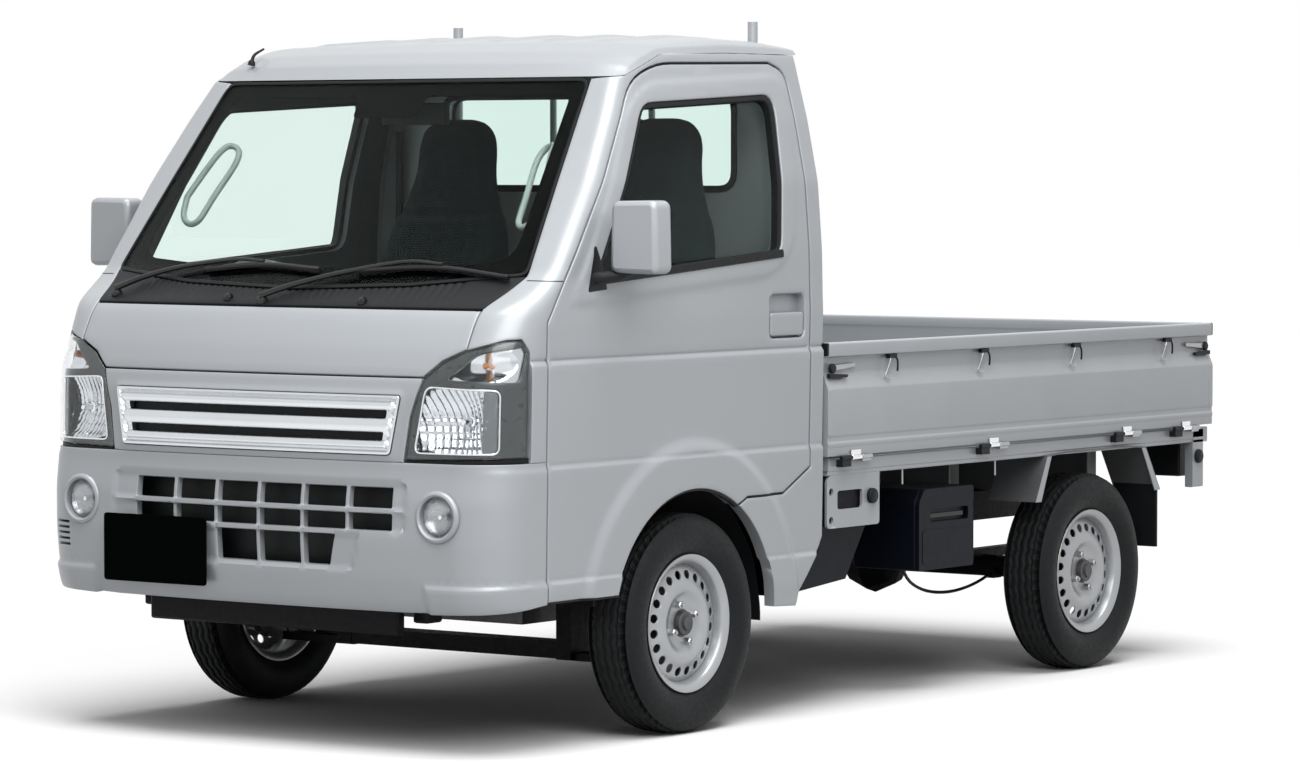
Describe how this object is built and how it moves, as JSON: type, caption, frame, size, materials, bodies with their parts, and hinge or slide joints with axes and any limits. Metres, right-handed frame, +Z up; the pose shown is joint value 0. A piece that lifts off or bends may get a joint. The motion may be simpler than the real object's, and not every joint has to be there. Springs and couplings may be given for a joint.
{
  "type": "kei truck",
  "caption": "Small cab-over pickup truck with a flat drop-side load bed, hinged doors, nose lid and gates, steered front wheels and freely turning wheels.",
  "frame": {"origin": "centre of the overall box at ground level", "axes": "+Y to the rear of the truck, -Y to the front, +X to the truck's left side, +Z up"},
  "size_m": [1.8, 3.3947, 1.757],
  "materials": {
    "bed": "satin",
    "bumper": "gloss",
    "cab_floor": "matt",
    "cab_rear": "gloss",
    "cab_side": "gloss",
    "cowl": "matt",
    "dashboard": "matt",
    "door": "gloss",
    "door_glass": "gloss",
    "engine": "satin",
    "exhaust": "satin",
    "frame": "satin",
    "front_lid": "gloss",
    "front_plate": "satin",
    "front_suspension": "satin",
    "fuel_tank": "matt",
    "gate": "satin",
    "gate_tail": "satin",
    "grille": "polished",
    "guard_frame": "satin",
    "hanging_cable": "matt",
    "headlamp": "gloss",
    "knuckle": "matt",
    "mirror": "gloss",
    "nose_panel": "gloss",
    "rear_axle": "satin",
    "rear_fender": "satin",
    "rear_glass": "gloss",
    "roof": "gloss",
    "seat": "cloth",
    "side_box": "matt",
    "splash_cover": "matt",
    "steering_wheel": "satin",
    "strut": "satin",
    "tyre": "matt",
    "wheel": "satin",
    "windscreen": "gloss"
  },
  "bodies": {
    "truck": {"bed": "bed", "bumper": "bumper", "cab_floor": "cab_floor", "cab_rear": "cab_rear", "cab_side_left": "cab_side", "cab_side_right": "cab_side", "cowl": "cowl", "dashboard": "dashboard", "engine": "engine", "exhaust": "exhaust", "frame": "frame", "front_plate": "front_plate", "front_suspension": "front_suspension", "fuel_tank": "fuel_tank", "grille": "grille", "guard_frame": "guard_frame", "hanging_cable": "hanging_cable", "headlamp_left": "headlamp", "headlamp_right": "headlamp", "nose_panel": "nose_panel", "rear_axle": "rear_axle", "rear_fender_left": "rear_fender", "rear_fender_right": "rear_fender", "rear_glass": "rear_glass", "roof": "roof", "seat_left": "seat", "seat_right": "seat", "side_box": "side_box", "splash_cover_left": "splash_cover", "splash_cover_right": "splash_cover", "strut_left": "strut", "strut_right": "strut", "windscreen": "windscreen"},
    "door_left": {"door_left": "door", "door_glass_left": "door_glass", "mirror_left": "mirror"},
    "door_right": {"door_right": "door", "door_glass_right": "door_glass", "mirror_right": "mirror"},
    "front_lid": {"front_lid": "front_lid"},
    "gate_left": {"gate_left": "gate"},
    "gate_right": {"gate_right": "gate"},
    "gate_tail": {"gate_tail": "gate_tail"},
    "steering_wheel": {"steering_wheel": "steering_wheel"},
    "knuckle_left": {"knuckle_left": "knuckle"},
    "knuckle_right": {"knuckle_right": "knuckle"},
    "wheel_front_left": {"wheel_front_left": "wheel", "tyre_front_left": "tyre"},
    "wheel_front_right": {"wheel_front_right": "wheel", "tyre_front_right": "tyre"},
    "wheel_rear_left": {"wheel_rear_left": "wheel", "tyre_rear_left": "tyre"},
    "wheel_rear_right": {"wheel_rear_right": "wheel", "tyre_rear_right": "tyre"}
  },
  "joints": [
    {"name": "door_left_hinge", "type": "hinge", "parent": "truck", "child": "door_left", "pos_m": [0.7355, -1.4505, 0.7], "axis": [0, 0, -1], "range_deg": [0, 65]},
    {"name": "door_right_hinge", "type": "hinge", "parent": "truck", "child": "door_right", "pos_m": [-0.7355, -1.4505, 0.7], "axis": [0, 0, 1], "range_deg": [0, 65]},
    {"name": "front_lid_hinge", "type": "hinge", "parent": "truck", "child": "front_lid", "pos_m": [0, -1.586, 1.0503], "axis": [-1, 0, 0], "range_deg": [0, 55]},
    {"name": "gate_left_hinge", "type": "hinge", "parent": "truck", "child": "gate_left", "pos_m": [0.7315, 0.7, 0.645], "axis": [0, 1, 0], "range_deg": [0, 178]},
    {"name": "gate_right_hinge", "type": "hinge", "parent": "truck", "child": "gate_right", "pos_m": [-0.7315, 0.7, 0.645], "axis": [0, -1, 0], "range_deg": [0, 178]},
    {"name": "gate_tail_hinge", "type": "hinge", "parent": "truck", "child": "gate_tail", "pos_m": [0, 1.6915, 0.645], "axis": [-1, 0, 0], "range_deg": [0, 178]},
    {"name": "steer_left", "type": "hinge", "parent": "truck", "child": "knuckle_left", "pos_m": [0.56, -0.8605, 0.27], "axis": [0, 0, 1], "range_deg": [-35, 35]},
    {"name": "steer_right", "type": "hinge", "parent": "truck", "child": "knuckle_right", "pos_m": [-0.56, -0.8605, 0.27], "axis": [0, 0, 1], "range_deg": [-35, 35]},
    {"name": "steering_wheel_turn", "type": "hinge", "parent": "truck", "child": "steering_wheel", "pos_m": [-0.35, -1.1, 1.03], "axis": [0, 0.6157, 0.788], "range_deg": [-562, 562]},
    {"name": "spin_front_left", "type": "hinge", "parent": "knuckle_left", "child": "wheel_front_left", "pos_m": [0.6525, -0.8605, 0.27], "axis": [1, 0, 0], "continuous": true},
    {"name": "spin_front_right", "type": "hinge", "parent": "knuckle_right", "child": "wheel_front_right", "pos_m": [-0.6525, -0.8605, 0.27], "axis": [1, 0, 0], "continuous": true},
    {"name": "spin_rear_left", "type": "hinge", "parent": "truck", "child": "wheel_rear_left", "pos_m": [0.65, 1.0445, 0.27], "axis": [1, 0, 0], "continuous": true},
    {"name": "spin_rear_right", "type": "hinge", "parent": "truck", "child": "wheel_rear_right", "pos_m": [-0.65, 1.0445, 0.27], "axis": [1, 0, 0], "continuous": true}
  ],
  "couplings": [
    {"joint": "steer_right", "follows": "steer_left", "ratio": 1},
    {"joint": "steering_wheel_turn", "follows": "steer_left", "ratio": 16}
  ]
}
